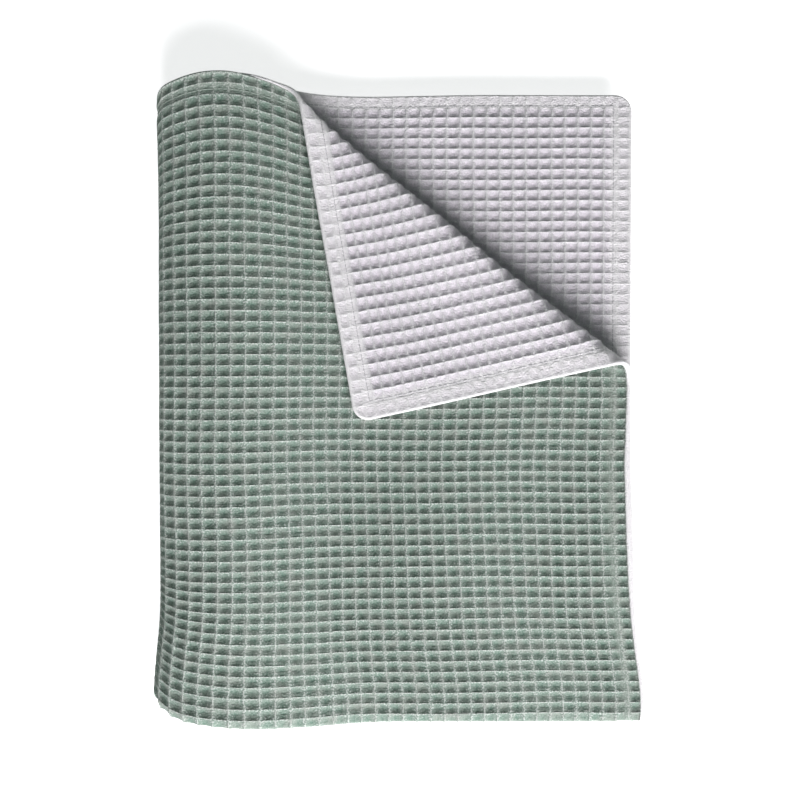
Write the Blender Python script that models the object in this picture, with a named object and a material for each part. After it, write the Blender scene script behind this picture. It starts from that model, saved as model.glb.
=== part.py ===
"""Waffle pique baby blanket, folded in quarters, with one corner turned back.

It is two cloths, a sage face and a white lining, sewn together round the rim.
A point of the blanket laid flat is (u, v, w): u runs across it, v along it,
and w out of it on the sage side. The folds bend that space, so both cloths
follow them and keep their distance. Metres, Z up, resting on Z = 0.
"""

import math

import bmesh
import bpy
import numpy as np

MM = 0.001

# Sizes laid flat
WIDTH = 750 * MM
LENGTH = 1000 * MM
CLOTH = 2.6 * MM
SEAM_GAP = 0.3 * MM
RIM_PEEK = 1.5 * MM
CORNER_RADIUS = 12 * MM
STITCH_INSET = 13 * MM
STITCH_WIDTH = 7 * MM
STITCH_PRESS = 0.6
RIM_PRESS = 0.75

# Where the folds fall
UPPER_WIDTH = 381 * MM
LOWER_WIDTH = WIDTH - UPPER_WIDTH
OUTER_LENGTH = 500 * MM
INNER_LENGTH = LENGTH - OUTER_LENGTH
CREASE_AT = (101 * MM, 500 * MM)
CREASE_TO = (381 * MM, 267.5 * MM)

# Thicknesses of the folded stack
PLY = 2 * CLOTH + SEAM_GAP
LINING_GAP = 1.5 * MM
HAIRPIN_RADIUS = (PLY + LINING_GAP) / 2
HALF_PAIR = PLY + LINING_GAP / 2
CREASE_RADIUS = 6.5 * MM
CREASE_TURN = math.pi * CREASE_RADIUS
CREASE_LOOSE = 0.6
CREASE_LOOSE_LENGTH = 157 * MM

# Each bend is a line drawn from its headings: (distance along it in mm, heading in degrees)
TRACK_STEP = 0.25 * MM
TRACK_SOFTEN = 8 * MM
ROLL_HEADINGS = (
    (-60, 180), (-52, 180), (-27, 177), (-15, 152), (-6, 112), (0, 90), (9, 62), (19, 38), (32, 20),
    (48, 7), (64, -3), (84, -13), (108, -21), (140, -17.5), (168, -6), (192, 0), (200, 0),
)
HAIRPIN_END = math.pi * HAIRPIN_RADIUS / MM / 2
HAIRPIN_HEADINGS = ((-HAIRPIN_END - 8, 180), (-HAIRPIN_END, 180), (HAIRPIN_END, 0), (HAIRPIN_END + 8, 0))
CREASE_END = CREASE_TURN / MM
CREASE_HEADINGS = (
    (-8, 0), (0, 0), (CREASE_END, 180), (CREASE_END + 12, 187),
    (CREASE_END + 44, 187), (CREASE_END + 64, 180), (CREASE_END + 72, 180),
)

# Unevenness of the edges: (place in mm, shift in mm)
TOP_EDGE = (
    (-60, 0), (-15, -6), (0, -9), (9, -1), (30, 2), (45, 7),
    (75, 8), (105, 1), (130, -8), (190, -4), (260, 0),
)
BOTTOM_EDGE = (
    (-130, 0), (-60, 5), (-25, 11), (-9, 20), (0, 24), (9, 20), (25, 11), (45, 8), (78, 4), (130, 0),
)
RIGHT_EDGE = ((0, 13), (20, 10), (60, 5.5), (125, 2.5), (175, 0.5), (380, 1), (520, 2))
LEFT_EDGE = ((0, -5), (25, -3), (60, 0.5), (180, 0), (250, 0), (380, -0.6), (455, -2.4), (500, -4))
UPPER_SLIP = ((0, 0), (100, 1.4), (180, 0.8), (240, -1.2), (300, 0.5), (520, 1.5))
LOWER_SLIP = ((0, 0), (30, -0.6), (60, -1.8), (90, -3), (120, -3.6), (520, -3.6))
EDGE_SOFTEN = 12 * MM
SWELL = 0.035

# The underside is lowest at four places, this far apart round its middle
REST_MIDDLE = (86 * MM, 216 * MM)
REST_APART = (250 * MM, 400 * MM)
REST_DIP = 0.7 * MM

# Mesh lines in mm: close together where the cloth bends, and WIDE_STEP apart elsewhere
ROLL_LINES = (
    -110, -70, -45, -32, -24, -17, -11, -5, 0, 5, 10, 16, 23, 31, 41, 54, 68, 84, 102, 122, 145, 170, 200,
)
HAIRPIN_LINES = (-45, -15, -5.5, -3.5, -1.8, 0, 1.8, 3.5, 5.5, 15, 45)
CREASE_LINES = (0, 3.4, 6.8, 10.2, 13.6, 17, 20.4, 25, 30, 36, 48, 66, 88)
WIDE_STEP = 46 * MM


def track(headings, soften):
    """A line through the plane as (distance, heading, x, z), smoothed where the heading changes."""
    along = np.arange(headings[0][0] * MM, headings[-1][0] * MM + TRACK_STEP / 2, TRACK_STEP)
    places = [place * MM for place, _ in headings]
    heading = np.interp(along, places, np.radians([degrees for _, degrees in headings]))
    reach = int(round(soften / TRACK_STEP / 2))
    padded = np.pad(heading, reach, mode="edge")
    heading = np.convolve(padded, np.ones(2 * reach + 1) / (2 * reach + 1), mode="valid")
    middle = (heading[1:] + heading[:-1]) / 2
    x = along[0] + np.concatenate([[0], np.cumsum(np.cos(middle) * TRACK_STEP)])
    z = np.concatenate([[0], np.cumsum(np.sin(middle) * TRACK_STEP)])
    return along, heading, x, z


def bend(line, along, out):
    """The point that far along the line and that far out from it, straight on past its ends."""
    places, headings, x, z = line
    near = np.clip(along, places[0], places[-1])
    heading = np.interp(near, places, headings)
    past = along - near
    return (
        np.interp(near, places, x) + past * np.cos(heading) - out * np.sin(heading),
        np.interp(near, places, z) + past * np.sin(heading) + out * np.cos(heading),
    )


def smooth(share):
    share = np.clip(share, 0, 1)
    return share * share * (3 - 2 * share)


def shifts(table, at):
    """The table's shift at each place, rounded off over EDGE_SOFTEN."""
    places = [place * MM for place, _ in table]
    values = [shift * MM for _, shift in table]
    offsets = np.linspace(-EDGE_SOFTEN, EDGE_SOFTEN, 7)
    return sum(np.interp(at + offset, places, values) for offset in offsets) / len(offsets)


ROLL = track(ROLL_HEADINGS, TRACK_SOFTEN)
HAIRPIN = track(HAIRPIN_HEADINGS, 0)
CREASE = track(CREASE_HEADINGS, TRACK_SOFTEN / 2)
HAIRPIN_MIDDLE = (HAIRPIN[3][0] + HAIRPIN[3][-1]) / 2


def crease_normal():
    run = np.array(CREASE_TO) - np.array(CREASE_AT)
    return np.array([-run[1], run[0]]) / np.hypot(*run)


def past_crease(u, v):
    normal = crease_normal()
    return (u - CREASE_AT[0]) * normal[0] + (v - CREASE_AT[1]) * normal[1]


def turn_corner(u, v, w):
    """Folds the corner back over the sage side, looser towards the side edge."""
    normal = crease_normal()
    past = past_crease(u, v)
    to_side = (CREASE_TO[0] - u) * normal[1] - (CREASE_TO[1] - v) * normal[0]
    size = 1 + CREASE_LOOSE * smooth(1 - to_side / CREASE_LOOSE_LENGTH)
    reach, rise = bend(CREASE, past / size, w / size)
    shift = reach * size - past
    return u + shift * normal[0], v + shift * normal[1], rise * size


def lift(x, y):
    """How far the stack stands off the surface: not at all at the four places it rests on."""
    across = np.sin(math.pi * (x - REST_MIDDLE[0]) / REST_APART[0])
    along = np.sin(math.pi * (y - REST_MIDDLE[1]) / REST_APART[1])
    return REST_DIP * (1 - (across * along) ** 4)


def uneven(u, x, y, z, out):
    """Pulls in the ends of the roll, waves the free edges and swells the stack a little."""
    upper = smooth((y - 300 * MM) / (190 * MM))
    lower = smooth((120 * MM - y) / (120 * MM))
    top = shifts(TOP_EDGE, u)
    y = y + upper * np.where(out > 0, top, 0.3 * top) + lower * shifts(BOTTOM_EDGE, u)
    right = smooth(abs(u) / (250 * MM))
    x = x + right * shifts(RIGHT_EDGE, y) + (1 - right) * shifts(LEFT_EDGE, y)
    waves = np.sin(x / (61 * MM) + y / (83 * MM)) + np.sin(y / (47 * MM) - x / (97 * MM) + 1)
    return x, y, z * (1 + SWELL * waves / 2) + lift(x, y)


def fold(u, v, w):
    """Where a point of the flat blanket ends up: corner, hairpin and roll, one after the other."""
    u, v, w = turn_corner(u, v, w)
    y, out = bend(HAIRPIN, v, w)
    out = out - HAIRPIN_MIDDLE
    slip = np.where(out > 0, shifts(UPPER_SLIP, y), shifts(LOWER_SLIP, y))
    u = u - slip * smooth((u - 100 * MM) / (200 * MM))
    x, z = bend(ROLL, u, out)
    return uneven(u, x, y, z + HALF_PAIR, out)


def lines_between(start, end, close):
    """Grid lines from start to end: the close ones, the stitch lines, and wide steps in the gaps."""
    inner = [place * MM for place in close]
    hem = [STITCH_INSET, STITCH_INSET + STITCH_WIDTH]
    fixed = sorted([start, *(start + h for h in hem), *inner, *(end - h for h in hem), end])
    lines = [fixed[0]]
    for place in fixed[1:]:
        count = max(1, math.ceil((place - lines[-1]) / WIDE_STEP - 0.1))
        lines.extend(np.linspace(lines[-1], place, count + 1)[1:])
    return lines


def flat_grid():
    """The blanket's mesh laid flat, as points and triangles: a grid, cut again along the crease."""
    us = lines_between(-LOWER_WIDTH, UPPER_WIDTH, ROLL_LINES)
    vs = lines_between(-INNER_LENGTH, OUTER_LENGTH, HAIRPIN_LINES)
    mesh = bmesh.new()
    rows = [[mesh.verts.new((u, v, 0)) for u in us] for v in vs]
    for low, high in zip(rows, rows[1:]):
        for i in range(len(us) - 1):
            mesh.faces.new((low[i], low[i + 1], high[i + 1], high[i]))
    normal = crease_normal()
    for line in CREASE_LINES:
        point = np.array(CREASE_AT) + normal * line * MM
        bmesh.ops.bisect_plane(
            mesh,
            geom=[*mesh.verts, *mesh.edges, *mesh.faces],
            dist=0.8 * MM,
            plane_co=(*point, 0),
            plane_no=(*normal, 0),
        )
    bmesh.ops.triangulate(mesh, faces=mesh.faces[:])
    mesh.verts.ensure_lookup_table()
    mesh.verts.index_update()
    points = np.array([vert.co[:2] for vert in mesh.verts])
    faces = np.array([[vert.index for vert in face.verts] for face in mesh.faces])
    mesh.free()
    return points, faces


def rim_edges(faces):
    """The border of the grid as directed edges, each in its triangle's own order."""
    edges = np.concatenate([faces[:, [0, 1]], faces[:, [1, 2]], faces[:, [2, 0]]])
    known = {(int(a), int(b)) for a, b in edges}
    return [(int(a), int(b)) for a, b in edges if (int(b), int(a)) not in known]


def rim_distance(u, v):
    across = np.minimum(u + LOWER_WIDTH, UPPER_WIDTH - u)
    along = np.minimum(v + INNER_LENGTH, OUTER_LENGTH - v)
    return np.minimum(across, along)


def pressed(u, v):
    """The share of its thickness a cloth keeps: less at the rim and at the stitching."""
    inset = rim_distance(u, v)
    places = [0, STITCH_INSET / 2, STITCH_INSET, STITCH_INSET + STITCH_WIDTH]
    return np.interp(inset, places, [RIM_PRESS, 1, STITCH_PRESS, 1])


def inside_rim(u, v, inset):
    """Points on the rim moved in by the inset, and round the corners."""
    middle = np.array([UPPER_WIDTH - LOWER_WIDTH, OUTER_LENGTH - INNER_LENGTH]) / 2
    half = np.array([WIDTH, LENGTH]) / 2 - inset
    radius = CORNER_RADIUS - inset
    place = np.stack([u, v], axis=1) - middle
    place = np.clip(place, -half, half)
    core = np.clip(place, radius - half, half - radius)
    reach = np.linalg.norm(place - core, axis=1)
    share = np.minimum(1, radius / np.maximum(reach, 1e-9))
    return (core + (place - core) * share[:, None] + middle).T


def cloth(name, near, far, inset, grid):
    """One closed cloth between two distances from the blanket's middle, folded."""
    points, faces = grid
    u, v = points.T
    outer = near + (far - near) * pressed(u, v)
    u, v = inside_rim(u, v, inset)
    bottom = np.stack(fold(u, v, np.minimum(near, outer)), axis=1)
    top = np.stack(fold(u, v, np.maximum(near, outer)), axis=1)
    count = len(points)
    sides = []
    for a, b in rim_edges(faces):
        sides.append((a, b, b + count))
        sides.append((a, b + count, a + count))
    solid = np.concatenate([faces[:, ::-1], faces + count, np.array(sides)])
    return name, np.concatenate([bottom, top]), solid


def add_object(name, points, faces):
    mesh = bpy.data.meshes.new(name)
    mesh.from_pydata(points.tolist(), [], faces.tolist())
    mesh.update()
    obj = bpy.data.objects.new(name, mesh)
    bpy.context.scene.collection.objects.link(obj)
    return obj


def give_material(obj, name, color):
    material = bpy.data.materials.new(name)
    material.use_nodes = True
    surface = material.node_tree.nodes["Principled BSDF"]
    surface.inputs["Base Color"].default_value = (*color, 1)
    surface.inputs["Roughness"].default_value = 0.9
    obj.data.materials.append(material)


def main():
    for obj in list(bpy.data.objects):
        bpy.data.objects.remove(obj)
    grid = flat_grid()
    half_gap = SEAM_GAP / 2
    cloths = [
        cloth("face_cloth", half_gap, half_gap + CLOTH, RIM_PEEK, grid),
        cloth("lining_cloth", -half_gap, -half_gap - CLOTH, 0, grid),
    ]
    every = np.concatenate([points for _, points, _ in cloths])
    low, high = every.min(axis=0), every.max(axis=0)
    origin = np.array([(low[0] + high[0]) / 2, (low[1] + high[1]) / 2, low[2]])
    colors = {"face_cloth": (0.36, 0.42, 0.35), "lining_cloth": (0.86, 0.85, 0.84)}
    for name, points, faces in cloths:
        obj = add_object(name, points - origin, faces)
        give_material(obj, name, colors[name])


main()
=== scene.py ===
"""Waffle pique baby blanket, folded in quarters: the dressed scene.

A point of the blanket laid flat is (u, v, w), as in the part's source: u runs
across it, v along it, and w out of it on the sage side. Each cloth is drawn
flat with its waffle cells, hems and rim, and then folded. Metres, Z up.
"""

import math

import bpy
import numpy as np
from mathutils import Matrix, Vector


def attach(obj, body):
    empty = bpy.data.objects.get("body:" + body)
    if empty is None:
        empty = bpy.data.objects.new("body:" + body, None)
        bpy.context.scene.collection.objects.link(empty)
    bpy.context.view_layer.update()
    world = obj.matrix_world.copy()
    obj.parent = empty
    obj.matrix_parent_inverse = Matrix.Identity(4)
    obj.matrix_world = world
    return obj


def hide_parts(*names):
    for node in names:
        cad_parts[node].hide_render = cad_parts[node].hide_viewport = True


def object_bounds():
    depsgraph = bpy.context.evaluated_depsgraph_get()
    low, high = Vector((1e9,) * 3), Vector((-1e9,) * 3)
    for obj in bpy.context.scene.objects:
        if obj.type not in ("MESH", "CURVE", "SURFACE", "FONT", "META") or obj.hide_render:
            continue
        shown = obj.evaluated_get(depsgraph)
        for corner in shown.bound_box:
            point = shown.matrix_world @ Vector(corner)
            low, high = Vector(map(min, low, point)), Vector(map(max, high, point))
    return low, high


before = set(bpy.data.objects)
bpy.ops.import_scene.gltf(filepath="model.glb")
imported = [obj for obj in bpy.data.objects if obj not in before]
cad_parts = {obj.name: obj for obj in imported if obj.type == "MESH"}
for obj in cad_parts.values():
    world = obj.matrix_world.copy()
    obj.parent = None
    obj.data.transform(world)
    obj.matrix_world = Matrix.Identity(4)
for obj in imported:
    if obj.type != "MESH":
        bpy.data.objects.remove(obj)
CAD_BOX = [list(corner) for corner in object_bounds()]

MM = 0.001

# Sizes laid flat
WIDTH = 750 * MM
LENGTH = 1000 * MM
CLOTH = 2.6 * MM
SEAM_GAP = 0.3 * MM
RIM_PEEK = 1.5 * MM
CORNER_RADIUS = 12 * MM
STITCH_INSET = 13 * MM
STITCH_WIDTH = 7 * MM
INNER_HEM = 0.58
STITCH_PRESS = 0.6
RIM_PRESS = 0.75

# Where the folds fall
UPPER_WIDTH = 381 * MM
LOWER_WIDTH = WIDTH - UPPER_WIDTH
OUTER_LENGTH = 500 * MM
INNER_LENGTH = LENGTH - OUTER_LENGTH
CREASE_AT = (101 * MM, 500 * MM)
CREASE_TO = (381 * MM, 267.5 * MM)

# Thicknesses of the folded stack
PLY = 2 * CLOTH + SEAM_GAP
LINING_GAP = 1.5 * MM
HAIRPIN_RADIUS = (PLY + LINING_GAP) / 2
HALF_PAIR = PLY + LINING_GAP / 2
CREASE_RADIUS = 6.5 * MM
CREASE_TURN = math.pi * CREASE_RADIUS
CREASE_LOOSE = 0.6
CREASE_LOOSE_LENGTH = 157 * MM

# Each bend is a line drawn from its headings: (distance along it in mm, heading in degrees)
TRACK_STEP = 0.25 * MM
TRACK_SOFTEN = 8 * MM
ROLL_HEADINGS = (
    (-60, 180), (-52, 180), (-27, 177), (-15, 152), (-6, 112), (0, 90), (9, 62), (19, 38), (32, 20),
    (48, 7), (64, -3), (84, -13), (108, -21), (140, -17.5), (168, -6), (192, 0), (200, 0),
)
HAIRPIN_END = math.pi * HAIRPIN_RADIUS / MM / 2
HAIRPIN_HEADINGS = ((-HAIRPIN_END - 8, 180), (-HAIRPIN_END, 180), (HAIRPIN_END, 0), (HAIRPIN_END + 8, 0))
CREASE_END = CREASE_TURN / MM
CREASE_HEADINGS = (
    (-8, 0), (0, 0), (CREASE_END, 180), (CREASE_END + 12, 187),
    (CREASE_END + 44, 187), (CREASE_END + 64, 180), (CREASE_END + 72, 180),
)

# Unevenness of the edges: (place in mm, shift in mm)
TOP_EDGE = (
    (-60, 0), (-15, -6), (0, -9), (9, -1), (30, 2), (45, 7),
    (75, 8), (105, 1), (130, -8), (190, -4), (260, 0),
)
BOTTOM_EDGE = (
    (-130, 0), (-60, 5), (-25, 11), (-9, 20), (0, 24), (9, 20), (25, 11), (45, 8), (78, 4), (130, 0),
)
RIGHT_EDGE = ((0, 13), (20, 10), (60, 5.5), (125, 2.5), (175, 0.5), (380, 1), (520, 2))
LEFT_EDGE = ((0, -5), (25, -3), (60, 0.5), (180, 0), (250, 0), (380, -0.6), (455, -2.4), (500, -4))
UPPER_SLIP = ((0, 0), (100, 1.4), (180, 0.8), (240, -1.2), (300, 0.5), (520, 1.5))
LOWER_SLIP = ((0, 0), (30, -0.6), (60, -1.8), (90, -3), (120, -3.6), (520, -3.6))
EDGE_SOFTEN = 12 * MM
SWELL = 0.035

# The underside is lowest at four places, this far apart round its middle
REST_MIDDLE = (86 * MM, 216 * MM)
REST_APART = (250 * MM, 400 * MM)
REST_DIP = 0.7 * MM

# Waffle cells, counted over the whole blanket
CELLS_ACROSS = 72
CELLS_ALONG = 120
CELL_U = WIDTH / CELLS_ACROSS
CELL_V = LENGTH / CELLS_ALONG
PIT_DEPTH = 2.5 * MM
FACE_HEM_RELIEF = 0.95
LINING_HEM_RELIEF = 0.45
STITCH_RELIEF = 0.2
BOWL_POWER = 1.15
CREST_SHARE = 0.25
CREST_WIDTH = 0.07
CROSS_RIDGE = 0.9
PUCKER = 0.5 * MM

# Where a cell is sampled, as shares of its side
FINEST = (0, 0.06, 0.18, 0.38, 0.62, 0.82, 0.94)
FINE = (0, 0.07, 0.35, 0.65, 0.93)
COARSE = (0, 0.5)
PLAIN = (0,)

# The rims: (outwards from the cloth's edge, height) in mm, round to the other side
FACE_RIM = ((0.3, 1.9), (0.45, 1.4), (0.45, 0.9), (0.2, 0.4))
LINING_RIM = (
    (0.8, -1.9), (1.5, -1.3), (1.9, -0.3), (1.8, 0.7), (1.3, 1.5), (0.5, 2.0), (-0.4, 2.0), (-0.85, 1.7),
    (-0.95, 1.2),
)

# On the roll's open end the face's rim reaches out over the lining's, up to this place across
TUCK = 1.6 * MM
TUCK_END = 95 * MM

# Stitches: each a short thread, drawn as rings at shares of its length
STITCH_LENGTH = 3.3 * MM
STITCH_PITCH = 3.8 * MM
STITCH_SINK = 0.25 * MM
THREAD_RADIUS = 0.32 * MM
THREAD_SIDES = 5
THREAD_SHARES = (-0.5, -0.32, 0, 0.32, 0.5)
THREAD_SAGS = (-0.6, 0.3, 0.6, 0.3, -0.6)

# Colour and bump of the cotton
FLECK_SCALE = 0.75
FLECK_SPREAD = 3
FLECK_BUMP = 1.5
PATCH_SCALE = 0.09
PATCH_SHARE = 0.45
YARN_PITCHES = (0.9, 0.8)
YARN_BUMP = 0.12
HEM_EASE = 0.8

# Camera: straight above, one picture width of view at one focal length
CAMERA_PLACE = (1.9 * MM, 3.2 * MM)
CAMERA_HEIGHT = 663 * MM
SENSOR = 36
LENS = 36

# Light
KEY_PLACE = (0.44, -1.75, 1.15)
KEY_SIZE = 1.2
KEY_POWER = 106
KEY_COLOR = (1, 0.965, 1)
WORLD_COLOR = (0.88, 1, 0.98)
WORLD_STRENGTH = 0.17
FLOOR_SIZE = 40
FLOOR_COLOR = (0.93, 0.93, 0.93)
FLOOR_GLOW = 0.7


def camera_and_stage():
    """The camera straight above the blanket, and a pale floor that glows as a light table does."""
    scene = bpy.context.scene
    camera = bpy.data.objects.new("camera", bpy.data.cameras.new("camera"))
    scene.collection.objects.link(camera)
    camera.location = (*CAMERA_PLACE, CAMERA_HEIGHT)
    camera.data.sensor_width = SENSOR
    camera.data.lens = LENS
    camera.data.clip_start = 0.01
    scene.camera = camera
    bpy.ops.mesh.primitive_plane_add(size=FLOOR_SIZE)
    floor = bpy.context.object
    floor.name = "floor"
    paper = plain_material("floor", FLOOR_COLOR, 0.9)
    surface = paper.node_tree.nodes["Principled BSDF"]
    surface.inputs["Emission Color"].default_value = (1, 1, 1, 1)
    surface.inputs["Emission Strength"].default_value = FLOOR_GLOW
    floor.data.materials.append(paper)


def plain_material(name, color, roughness):
    material = bpy.data.materials.new(name)
    material.use_nodes = True
    surface = material.node_tree.nodes["Principled BSDF"]
    surface.inputs["Base Color"].default_value = (*color, 1)
    surface.inputs["Roughness"].default_value = roughness
    return material


def area_light(name, place, size, energy, color):
    light = bpy.data.objects.new(name, bpy.data.lights.new(name, "AREA"))
    bpy.context.scene.collection.objects.link(light)
    light.location = place
    light.rotation_euler = (-Vector(place)).to_track_quat("-Z", "Y").to_euler()
    light.data.size = size
    light.data.energy = energy
    light.data.color = color


def lights():
    """A large soft key light from the near side, slightly to the right, and a faint pale world."""
    area_light("key", KEY_PLACE, KEY_SIZE, KEY_POWER, KEY_COLOR)
    world = bpy.data.worlds.new("studio")
    bpy.context.scene.world = world
    world.use_nodes = True
    background = world.node_tree.nodes["Background"]
    background.inputs["Color"].default_value = (*WORLD_COLOR, 1)
    background.inputs["Strength"].default_value = WORLD_STRENGTH
    bpy.context.scene.view_settings.view_transform = "Standard"


def track(headings, soften):
    """A line through the plane as (distance, heading, x, z), smoothed where the heading changes."""
    along = np.arange(headings[0][0] * MM, headings[-1][0] * MM + TRACK_STEP / 2, TRACK_STEP)
    places = [place * MM for place, _ in headings]
    heading = np.interp(along, places, np.radians([degrees for _, degrees in headings]))
    reach = int(round(soften / TRACK_STEP / 2))
    padded = np.pad(heading, reach, mode="edge")
    heading = np.convolve(padded, np.ones(2 * reach + 1) / (2 * reach + 1), mode="valid")
    middle = (heading[1:] + heading[:-1]) / 2
    x = along[0] + np.concatenate([[0], np.cumsum(np.cos(middle) * TRACK_STEP)])
    z = np.concatenate([[0], np.cumsum(np.sin(middle) * TRACK_STEP)])
    return along, heading, x, z


def bend(line, along, out):
    """The point that far along the line and that far out from it, straight on past its ends."""
    places, headings, x, z = line
    near = np.clip(along, places[0], places[-1])
    heading = np.interp(near, places, headings)
    past = along - near
    return (
        np.interp(near, places, x) + past * np.cos(heading) - out * np.sin(heading),
        np.interp(near, places, z) + past * np.sin(heading) + out * np.cos(heading),
    )


def smooth(share):
    share = np.clip(share, 0, 1)
    return share * share * (3 - 2 * share)


def shifts(table, at):
    """The table's shift at each place, rounded off over EDGE_SOFTEN."""
    places = [place * MM for place, _ in table]
    values = [shift * MM for _, shift in table]
    offsets = np.linspace(-EDGE_SOFTEN, EDGE_SOFTEN, 7)
    return sum(np.interp(at + offset, places, values) for offset in offsets) / len(offsets)


ROLL = track(ROLL_HEADINGS, TRACK_SOFTEN)
HAIRPIN = track(HAIRPIN_HEADINGS, 0)
CREASE = track(CREASE_HEADINGS, TRACK_SOFTEN / 2)
HAIRPIN_MIDDLE = (HAIRPIN[3][0] + HAIRPIN[3][-1]) / 2


def crease_normal():
    run = np.array(CREASE_TO) - np.array(CREASE_AT)
    return np.array([-run[1], run[0]]) / np.hypot(*run)


def turn_corner(u, v, w):
    """Folds the corner back over the sage side, looser towards the side edge."""
    normal = crease_normal()
    past = (u - CREASE_AT[0]) * normal[0] + (v - CREASE_AT[1]) * normal[1]
    to_side = (CREASE_TO[0] - u) * normal[1] - (CREASE_TO[1] - v) * normal[0]
    size = 1 + CREASE_LOOSE * smooth(1 - to_side / CREASE_LOOSE_LENGTH)
    reach, rise = bend(CREASE, past / size, w / size)
    shift = reach * size - past
    return u + shift * normal[0], v + shift * normal[1], rise * size


def lift(x, y):
    """How far the stack stands off the surface: not at all at the four places it rests on."""
    across = np.sin(math.pi * (x - REST_MIDDLE[0]) / REST_APART[0])
    along = np.sin(math.pi * (y - REST_MIDDLE[1]) / REST_APART[1])
    return REST_DIP * (1 - (across * along) ** 4)


def uneven(u, x, y, z, out):
    """Pulls in the ends of the roll, waves the free edges and swells the stack a little."""
    upper = smooth((y - 300 * MM) / (190 * MM))
    lower = smooth((120 * MM - y) / (120 * MM))
    top = shifts(TOP_EDGE, u)
    y = y + upper * np.where(out > 0, top, 0.3 * top) + lower * shifts(BOTTOM_EDGE, u)
    right = smooth(abs(u) / (250 * MM))
    x = x + right * shifts(RIGHT_EDGE, y) + (1 - right) * shifts(LEFT_EDGE, y)
    waves = np.sin(x / (61 * MM) + y / (83 * MM)) + np.sin(y / (47 * MM) - x / (97 * MM) + 1)
    return x, y, z * (1 + SWELL * waves / 2) + lift(x, y)


def fold(u, v, w):
    """Where a point of the flat blanket ends up: corner, hairpin and roll, one after the other."""
    u, v, w = turn_corner(u, v, w)
    y, out = bend(HAIRPIN, v, w)
    out = out - HAIRPIN_MIDDLE
    slip = np.where(out > 0, shifts(UPPER_SLIP, y), shifts(LOWER_SLIP, y))
    u = u - slip * smooth((u - 100 * MM) / (200 * MM))
    x, z = bend(ROLL, u, out)
    return uneven(u, x, y, z + HALF_PAIR, out)


def fold_origin():
    """The fold's own place in the frame: its plain outsides, centred on the CAD model's box."""
    across, along = np.meshgrid(
        np.linspace(-LOWER_WIDTH, UPPER_WIDTH, 300),
        np.linspace(-INNER_LENGTH, OUTER_LENGTH, 400),
    )
    half = PLY / 2
    sides = [np.stack(fold(across, along, np.full(across.shape, side))) for side in (half, -half)]
    low = np.min([side.min(axis=(1, 2)) for side in sides], axis=0)
    high = np.max([side.max(axis=(1, 2)) for side in sides], axis=0)
    middle = (np.array(CAD_BOX[0]) + np.array(CAD_BOX[1])) / 2
    origin = (low + high) / 2 - middle
    origin[2] = 0
    return origin


ORIGIN = fold_origin()


def ridge(share):
    """A thin crest on a bowl's wall: 1 on the cell's border, 0 in its middle."""
    away = np.abs(share - np.round(share))
    crest = np.exp(-(away / CREST_WIDTH) ** 2)
    return (1 - CREST_SHARE) * (1 - 2 * away) ** BOWL_POWER + CREST_SHARE * crest


def cell_places(u, v):
    """Places on the flat cloth counted in cells, which wander a little away from the hems."""
    across = (u + LOWER_WIDTH) / CELL_U
    along = (v + INNER_LENGTH) / CELL_V
    wander = 0.05 * np.sin(along * 0.31 + 0.7 * np.sin(across * 0.23))
    stray = 0.05 * np.sin(across * 0.37 + 0.8 * np.sin(along * 0.19))
    inner = smooth((rim_distance(u, v) - STITCH_INSET) / (40 * MM))
    return across + wander * inner, along + stray * inner


def waffle(across, along):
    """The relief of the weave, from 0 in the middle of a cell to 1 on its ridges."""
    return 1 - (1 - ridge(across)) * (1 - CROSS_RIDGE * ridge(along))


def rim_distance(u, v):
    """How far in from the edge, counted longer at the inner end, where the hem is narrower."""
    across = np.minimum(u + LOWER_WIDTH, UPPER_WIDTH - u)
    along = np.minimum((v + INNER_LENGTH) / INNER_HEM, OUTER_LENGTH - v)
    return np.minimum(across, along)


def pressed(inset):
    """The share of its thickness a cloth keeps: less at the rim and at the stitching."""
    places = [0, STITCH_INSET / 2, STITCH_INSET, STITCH_INSET + STITCH_WIDTH]
    return np.interp(inset, places, [RIM_PRESS, 1, STITCH_PRESS, 1])


def relief_share(inset, hem_relief):
    """How much of the relief is left: less in the hem, and little along the stitching."""
    places = np.array([0, 0.15, 0.55, 0.75, 1.15, 1.35]) * STITCH_INSET
    hem = [hem_relief / 2, hem_relief, hem_relief, STITCH_RELIEF, STITCH_RELIEF, 1]
    return np.interp(inset, places, hem)


def outer_height(u, v, height, share):
    """How far the outside of a cloth stands out from the blanket's middle."""
    inset = rim_distance(u, v)
    hem = smooth(inset / (4 * MM)) * smooth((STITCH_INSET + 2 * MM - inset) / (4 * MM))
    waver = np.sin(u / (1.9 * MM) + 2 * np.sin(v / (7 * MM)))
    ripple = np.sin(v / (1.7 * MM) + 2 * np.sin(u / (6 * MM)))
    depth = PIT_DEPTH * share * (1 - height) + PUCKER * hem * (1 + waver * ripple) / 2
    return SEAM_GAP / 2 + CLOTH * pressed(inset) - depth


def cell_lines(stretches, count, rings):
    """Lines over stretches of cells as (place in cells, ring): ring 0 is the cloth, the others its rim."""
    lines = []
    if stretches[0][0] == 0:
        lines += [(0, ring) for ring in range(rings, 0, -1)]
    for first, last, samples in stretches:
        lines += [(cell + share, 0) for cell in range(first, last) for share in samples]
    lines.append((stretches[-1][1], 0))
    if stretches[-1][1] == count:
        lines += [(count, ring) for ring in range(1, rings + 1)]
    return np.array(lines, float)


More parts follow.
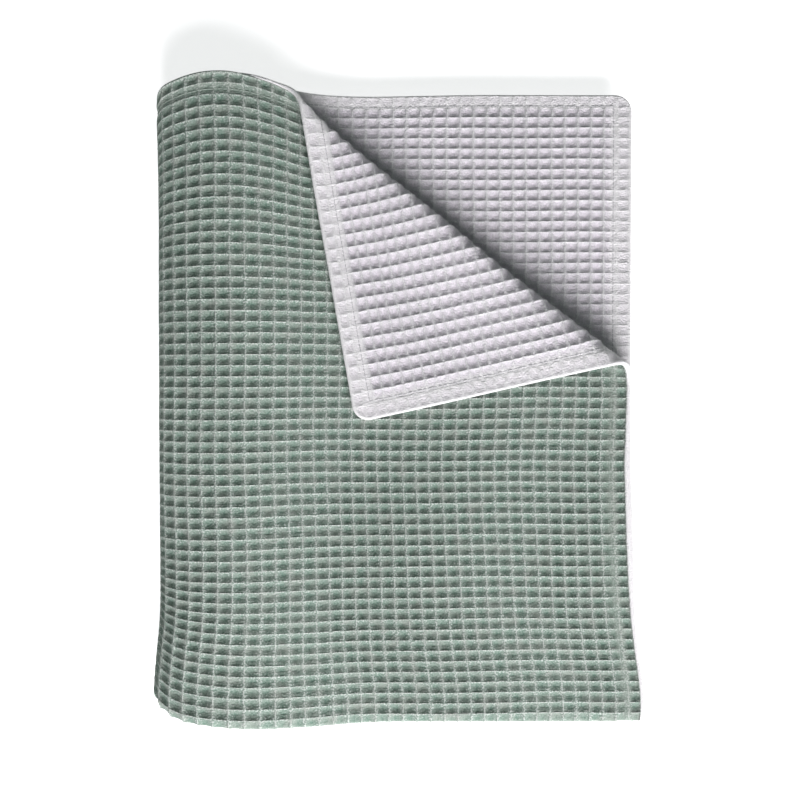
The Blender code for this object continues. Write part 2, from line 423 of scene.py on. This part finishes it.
def rounded(u, v, inset, outset):
    """Places on the flat cloth, with its corners rounded and its rim put outwards by the outset."""
    middle = np.array([UPPER_WIDTH - LOWER_WIDTH, OUTER_LENGTH - INNER_LENGTH]) / 2
    half = np.array([WIDTH, LENGTH]) / 2 - inset
    radius = CORNER_RADIUS - inset
    place = np.clip(np.stack([u, v], axis=-1) - middle, -half, half)
    core = np.clip(place, radius - half, half - radius)
    arm = place - core
    reach = np.maximum(np.linalg.norm(arm, axis=-1), 1e-9)
    wanted = np.max(np.abs(arm), axis=-1) + outset
    place = core + arm * (wanted / reach)[..., None] + middle
    return place[..., 0], place[..., 1]


def block_mesh(block, side, inset, rim, hem_relief):
    """One block of cells, folded, as (points, quads, flat places, cell places, flatness)."""
    across = cell_lines(block[0], CELLS_ACROSS, len(rim))
    along = cell_lines(block[1], CELLS_ALONG, len(rim))
    u, v = np.meshgrid(across[:, 0] * CELL_U - LOWER_WIDTH, along[:, 0] * CELL_V - INNER_LENGTH)
    ring = np.maximum(*np.meshgrid(across[:, 1], along[:, 1])).astype(int)
    cells = cell_places(u, v)
    share = relief_share(rim_distance(u, v), hem_relief)
    w = side * outer_height(u, v, waffle(*cells), share)
    tuck = smooth((TUCK_END - u) / (30 * MM)) * (v > 0)
    outset = np.zeros(u.shape)
    for number, (out, level) in enumerate(rim, start=1):
        under = level if side > 0 else min(level, -0.3)
        w = np.where(ring == number, (level + (under - level) * tuck) * MM, w)
        outset = np.where(ring == number, out * MM + side * TUCK * tuck, outset)
    flat_u, flat_v = rounded(u, v, inset, outset)
    points = np.stack(fold(flat_u, flat_v, w), axis=-1).reshape(-1, 3) - ORIGIN
    rows, columns = u.shape
    corner = (np.arange(rows - 1)[:, None] * columns + np.arange(columns - 1)).ravel()
    quads = np.stack([corner, corner + 1, corner + columns + 1, corner + columns], axis=1)
    if side < 0:
        quads = quads[:, ::-1]
    flat = np.stack([(flat_u + LOWER_WIDTH) / WIDTH, (flat_v + INNER_LENGTH) / LENGTH], axis=-1)
    cells = np.stack(cells, axis=-1)
    return points, quads, flat.reshape(-1, 2), cells.reshape(-1, 2), 1 - share.ravel()


def cloth_object(name, blocks, side, inset, rim, hem_relief, material):
    """One cloth, joined from its blocks, with UV maps of its flat places and cells."""
    parts = [block_mesh(block, side, inset, rim, hem_relief) for block in blocks]
    starts = np.cumsum([0] + [len(part[0]) for part in parts])
    points = np.concatenate([part[0] for part in parts])
    quads = np.concatenate([part[1] + start for part, start in zip(parts, starts)])
    mesh = bpy.data.meshes.new(name)
    mesh.from_pydata(points.tolist(), [], quads.tolist())
    for number, map_name in ((2, "flat"), (3, "cells")):
        places = np.concatenate([part[number] for part in parts])
        layer = mesh.uv_layers.new(name=map_name)
        layer.data.foreach_set("uv", places[quads.ravel()].ravel())
    flatness = mesh.attributes.new("flatness", "FLOAT", "POINT")
    flatness.data.foreach_set("value", np.concatenate([part[4] for part in parts]))
    mesh.materials.append(material)
    mesh.shade_smooth()
    mesh.validate()
    cloth = bpy.data.objects.new(name, mesh)
    bpy.context.scene.collection.objects.link(cloth)
    return cloth


# Each cloth in blocks of cells, finest where it is seen: (stretches across, stretches along)
FACE_BLOCKS = (
    (((0, 26, PLAIN), (26, 31, COARSE), (31, CELLS_ACROSS, FINE)), ((56, CELLS_ALONG, FINE),)),
    (((0, 26, PLAIN), (26, 46, COARSE), (46, CELLS_ACROSS, PLAIN)), ((0, 56, COARSE),)),
)
LINING_BLOCKS = (
    (((45, CELLS_ACROSS, FINEST),), ((90, CELLS_ALONG, FINEST),)),
    (((45, CELLS_ACROSS, PLAIN),), ((30, 90, PLAIN),)),
    (((45, CELLS_ACROSS, FINEST),), ((0, 30, FINEST),)),
    (((0, 26, PLAIN), (26, 45, COARSE)), ((0, CELLS_ALONG, PLAIN),)),
)


def stitch_places():
    """The middle of each stitch on the flat blanket, with the direction it runs in."""
    low_u, high_u = STITCH_INSET - LOWER_WIDTH, UPPER_WIDTH - STITCH_INSET
    low_v, high_v = INNER_HEM * STITCH_INSET - INNER_LENGTH, OUTER_LENGTH - STITCH_INSET
    corners = [(low_u, low_v), (high_u, low_v), (high_u, high_v), (low_u, high_v), (low_u, low_v)]
    places = []
    for start, end in zip(corners, corners[1:]):
        start, end = np.array(start), np.array(end)
        length = np.linalg.norm(end - start)
        run = (end - start) / length
        count = round(length / STITCH_PITCH)
        places += [(start + run * length * (number + 0.5) / count, run) for number in range(count)]
    return places


def thread_object(name, side, material):
    """The stitches of one side, each a short thread that dips into the cloth at both ends."""
    level = SEAM_GAP / 2 + CLOTH * STITCH_PRESS - STITCH_SINK
    places = stitch_places()
    centre = np.array([place for place, _ in places])
    run = np.array([direction for _, direction in places])
    across = run[:, ::-1] * (1, -1)
    points = []
    for share, sag in zip(THREAD_SHARES, THREAD_SAGS):
        for number in range(THREAD_SIDES):
            angle = number * math.tau / THREAD_SIDES
            place = centre + run * share * STITCH_LENGTH + across * math.cos(angle) * THREAD_RADIUS
            height = np.full(len(place), level + (sag + math.sin(angle)) * THREAD_RADIUS)
            points.append(np.stack(fold(place[:, 0], place[:, 1], side * height), axis=1) - ORIGIN)
    points = np.stack(points, axis=1)
    quads = []
    for start in range(0, THREAD_SIDES * (len(THREAD_SHARES) - 1), THREAD_SIDES):
        for corner in range(THREAD_SIDES):
            here, beside = start + corner, start + (corner + 1) % THREAD_SIDES
            quads.append((here, beside, beside + THREAD_SIDES, here + THREAD_SIDES))
    quads = np.array(quads)[:, ::-1] if side > 0 else np.array(quads)
    starts = np.arange(len(points)) * points.shape[1]
    faces = (starts[:, None, None] + quads).reshape(-1, 4)
    mesh = bpy.data.meshes.new(name)
    mesh.from_pydata(points.reshape(-1, 3).tolist(), [], faces.tolist())
    mesh.materials.append(material)
    mesh.shade_smooth()
    thread = bpy.data.objects.new(name, mesh)
    bpy.context.scene.collection.objects.link(thread)
    return thread


def add_node(tree, kind, **settings):
    node = tree.nodes.new(kind)
    for name, value in settings.items():
        setattr(node, name, value)
    return node


def math_node(tree, operation, first, second=None):
    """A Math node, whose inputs are numbers or other nodes' outputs."""
    node = add_node(tree, "ShaderNodeMath", operation=operation)
    for socket, value in zip(node.inputs, (first, second)):
        if value is None:
            continue
        if isinstance(value, (int, float)):
            socket.default_value = value
        else:
            tree.links.new(value, socket)
    return node.outputs[0]


def ramp_node(tree, factor, stops):
    node = add_node(tree, "ShaderNodeValToRGB")
    tree.links.new(factor, node.inputs["Fac"])
    elements = node.color_ramp.elements
    elements[0].position, elements[0].color = stops[0][0], (*stops[0][1], 1)
    elements[1].position, elements[1].color = stops[-1][0], (*stops[-1][1], 1)
    for position, color in stops[1:-1]:
        elements.new(position).color = (*color, 1)
    return node.outputs["Color"]


def noise_node(tree, place, scale, detail):
    node = add_node(tree, "ShaderNodeTexNoise")
    node.inputs["Scale"].default_value = scale
    node.inputs["Detail"].default_value = detail
    tree.links.new(place, node.inputs["Vector"])
    return node.outputs["Fac"]


def mix_node(tree, factor, first, second):
    """A colour mix, whose two colours are plain values or other nodes' outputs."""
    node = add_node(tree, "ShaderNodeMix", data_type="RGBA")
    tree.links.new(factor, node.inputs["Factor"])
    for socket, color in zip((node.inputs[6], node.inputs[7]), (first, second)):
        if isinstance(color, tuple):
            socket.default_value = (*color, 1)
        else:
            tree.links.new(color, socket)
    return node.outputs[2]


def ridge_nodes(tree, place):
    """The same ridge as on the mesh, drawn finer: from 1 on the cell's border to 0 in its middle."""
    away = math_node(tree, "PINGPONG", place, 0.5)
    slope = math_node(tree, "SUBTRACT", 1.0, math_node(tree, "MULTIPLY", away, 2.0))
    wall = math_node(tree, "MULTIPLY", math_node(tree, "POWER", slope, BOWL_POWER), 1 - CREST_SHARE)
    near = math_node(tree, "DIVIDE", away, CREST_WIDTH)
    fall = math_node(tree, "MULTIPLY", math_node(tree, "MULTIPLY", near, near), -1.0)
    crest = math_node(tree, "MULTIPLY", math_node(tree, "EXPONENT", fall), CREST_SHARE)
    return math_node(tree, "ADD", wall, crest)


def split_nodes(tree, vector):
    node = add_node(tree, "ShaderNodeSeparateXYZ")
    tree.links.new(vector, node.inputs["Vector"])
    return node.outputs["X"], node.outputs["Y"]


def cotton_material(name, pit_painted_shading, middle, crest, warm, hem, hem_painted_light_share, steepness):
    """Waffle cotton: its yarns flecked and warmer in patches, with a thread bump. Light and shade are
    painted into its colour: painted shade in the sage's pits, painted light in the white's pits, painted
    highlights on the crests, and a hem painted paler as painted light.
    """
    material = plain_material(name, middle, 0.95)
    tree = material.node_tree
    surface = tree.nodes["Principled BSDF"]
    flat = add_node(tree, "ShaderNodeUVMap", uv_map="flat")
    sized = add_node(tree, "ShaderNodeMapping")
    sized.inputs["Scale"].default_value = (WIDTH / MM, LENGTH / MM, 1)
    tree.links.new(flat.outputs["UV"], sized.inputs["Vector"])
    place = sized.outputs["Vector"]
    cells = add_node(tree, "ShaderNodeUVMap", uv_map="cells")
    across, along = split_nodes(tree, cells.outputs["UV"])
    gap = math_node(tree, "SUBTRACT", 1.0, ridge_nodes(tree, across))
    cross = math_node(tree, "MULTIPLY", ridge_nodes(tree, along), CROSS_RIDGE)
    gap = math_node(tree, "MULTIPLY", gap, math_node(tree, "SUBTRACT", 1.0, cross))
    relief = math_node(tree, "SUBTRACT", 1.0, gap)
    flatness = add_node(tree, "ShaderNodeAttribute", attribute_name="flatness").outputs["Fac"]
    in_body = math_node(tree, "SUBTRACT", 1.0, math_node(tree, "MULTIPLY", flatness, HEM_EASE))
    fleck = noise_node(tree, place, FLECK_SCALE, 3)
    stray = math_node(tree, "MULTIPLY", math_node(tree, "SUBTRACT", fleck, 0.5), FLECK_SPREAD)
    tone = math_node(tree, "ADD", relief, stray)
    # Painted shading: the colour follows the relief, with painted shade in the sage's pits, painted light
    # in the white's pits and a painted highlight along the crests.
    color = ramp_node(tree, tone, ((0, pit_painted_shading), (0.55, middle), (0.8, middle), (1, crest)))
    patch = noise_node(tree, place, PATCH_SCALE, 3)
    patch = ramp_node(tree, patch, ((0.42, (0, 0, 0)), (0.7, (1, 1, 1))))
    color = mix_node(tree, math_node(tree, "MULTIPLY", patch, PATCH_SHARE), color, warm)
    # Painted light: the hem is painted paler, standing in for the light its flat band catches.
    share = math_node(tree, "MULTIPLY", flatness, hem_painted_light_share)
    tree.links.new(mix_node(tree, share, color, hem), surface.inputs["Base Color"])
    warp, weft = (
        math_node(tree, "SINE", math_node(tree, "MULTIPLY", axis, math.tau / pitch))
        for axis, pitch in zip(split_nodes(tree, place), YARN_PITCHES)
    )
    weave = math_node(tree, "MULTIPLY", math_node(tree, "MULTIPLY", warp, weft), YARN_BUMP)
    fuzz = math_node(tree, "ADD", weave, math_node(tree, "MULTIPLY", fleck, FLECK_BUMP))
    deep = math_node(tree, "MULTIPLY", math_node(tree, "MULTIPLY", relief, in_body), steepness)
    bump = add_node(tree, "ShaderNodeBump")
    bump.inputs["Strength"].default_value = 1
    bump.inputs["Distance"].default_value = MM
    tree.links.new(math_node(tree, "ADD", fuzz, deep), bump.inputs["Height"])
    tree.links.new(bump.outputs["Normal"], surface.inputs["Normal"])
    surface.inputs["Sheen Weight"].default_value = 0.1
    surface.inputs["Sheen Roughness"].default_value = 0.6
    surface.inputs["Specular IOR Level"].default_value = 0.15
    return material


def main():
    camera_and_stage()
    lights()
    # Painted light and shade in these colours: each crest colour is a painted highlight and each hem
    # colour a painted paler hem; the sage's pit colour is painted shade, the white's pit colour painted
    # light.
    sage = cotton_material(
        "sage_pique", (0.11, 0.18, 0.14), (0.2, 0.26, 0.22), (0.45, 0.5, 0.46),
        warm=(0.29, 0.3, 0.27), hem=(0.29, 0.33, 0.29), hem_painted_light_share=0.35, steepness=1.8,
    )
    white = cotton_material(
        "white_pique", (0.68, 0.64, 0.69), (0.53, 0.52, 0.54), (0.66, 0.67, 0.66),
        warm=(0.54, 0.51, 0.55), hem=(0.79, 0.79, 0.78), hem_painted_light_share=0.8, steepness=0.45,
    )
    face = cloth_object("sage_face", FACE_BLOCKS, 1, RIM_PEEK, FACE_RIM, FACE_HEM_RELIEF, sage)
    lining = cloth_object("white_lining", LINING_BLOCKS, -1, 0, LINING_RIM, LINING_HEM_RELIEF, white)
    sage_cotton = plain_material("sage_thread", (0.27, 0.32, 0.28), 0.8)
    white_cotton = plain_material("white_thread", (0.42, 0.42, 0.43), 0.8)
    sage_thread = thread_object("sage_stitches", 1, sage_cotton)
    white_thread = thread_object("white_stitches", -1, white_cotton)
    for piece in (face, lining, sage_thread, white_thread):
        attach(piece, "root")
    for piece, node, slot in ((face, "face_cloth", "sage_pique"), (lining, "lining_cloth", "white_pique")):
        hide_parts(node)


main()
